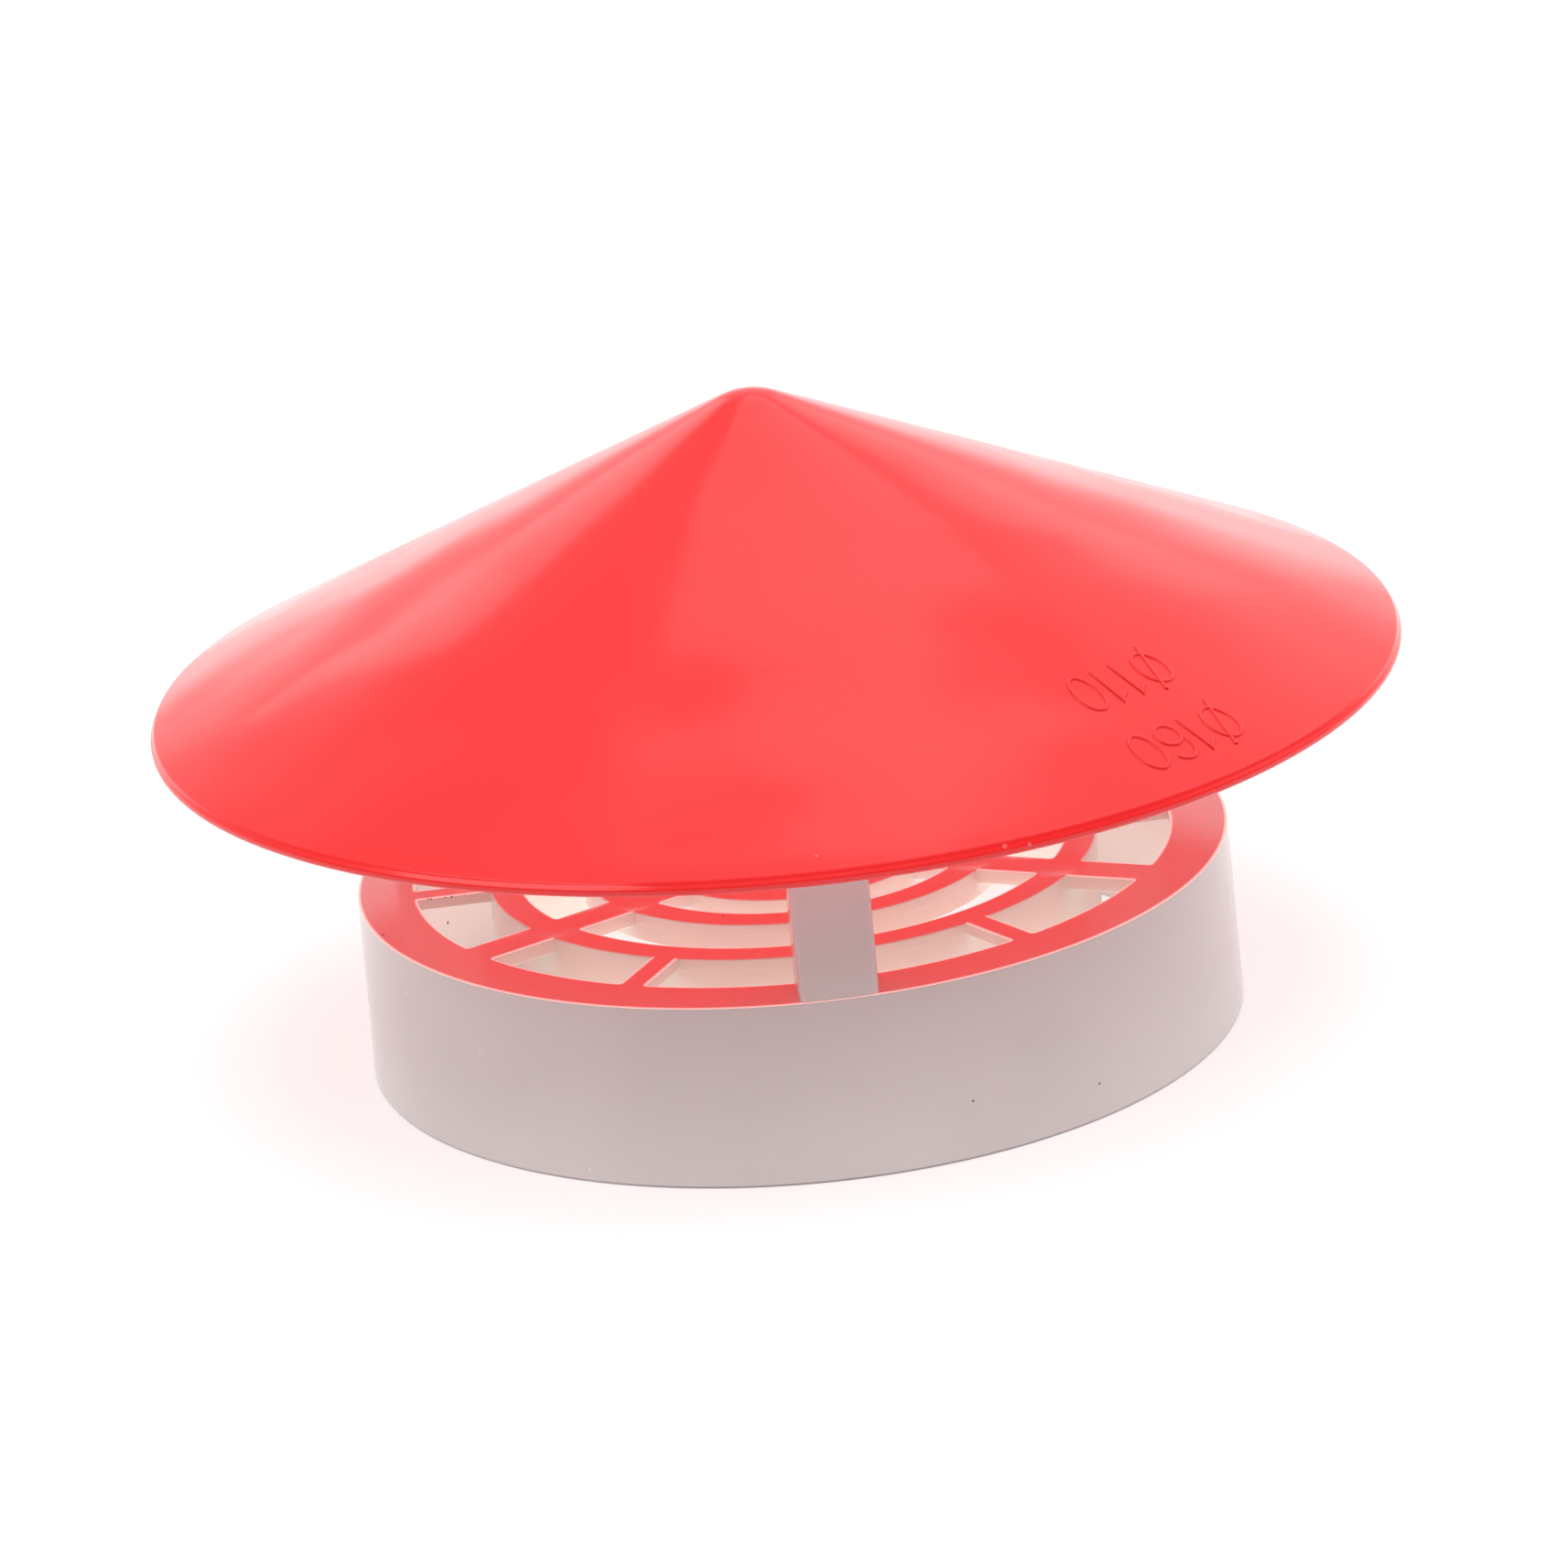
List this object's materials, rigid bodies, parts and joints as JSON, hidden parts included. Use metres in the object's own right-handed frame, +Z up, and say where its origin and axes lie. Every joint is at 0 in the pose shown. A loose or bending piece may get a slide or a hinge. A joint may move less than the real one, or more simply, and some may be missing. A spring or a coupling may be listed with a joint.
{
  "type": "chimney rain cap",
  "caption": "Conical rain hood on straight legs above a round collar with a vent grille; the collar's nested sockets slip over plastic vent pipe of two sizes.",
  "frame": {"origin": "centre of the collar's open mouth, on the plane it stands on", "axes": "+Z up along the cap's axis, -Y towards the front leg"},
  "size_m": [0.2366, 0.2366, 0.1265],
  "materials": {
    "base_plastic": "satin moulded, white",
    "hood_plastic": "gloss moulded, red"
  },
  "bodies": {
    "root": {"vent_base": "base_plastic", "rain_hood": "hood_plastic"}
  },
  "joints": []
}
